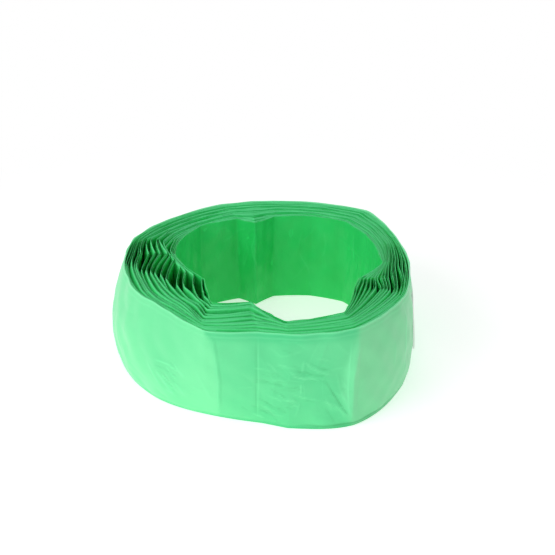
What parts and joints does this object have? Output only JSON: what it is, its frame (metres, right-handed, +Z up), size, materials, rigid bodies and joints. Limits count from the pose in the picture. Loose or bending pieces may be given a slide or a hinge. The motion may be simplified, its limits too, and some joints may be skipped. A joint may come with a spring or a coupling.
{
  "type": "continuous bag cassette",
  "caption": "Ring-shaped pack of endless bag film, pleated into nested upright loops around an open hollow, with a blank label on its wall.",
  "frame": {"origin": "middle of the footprint, on the surface that the pack stands on", "axes": "+Z up, -Y towards the viewer of the picture, +X to the right in it"},
  "size_m": [0.2892, 0.2784, 0.096],
  "materials": {
    "film": "soft satin polyethylene film",
    "label": "matt white adhesive label, blank"
  },
  "bodies": {
    "root": {"film_pack": "film", "label": "label"}
  },
  "joints": []
}
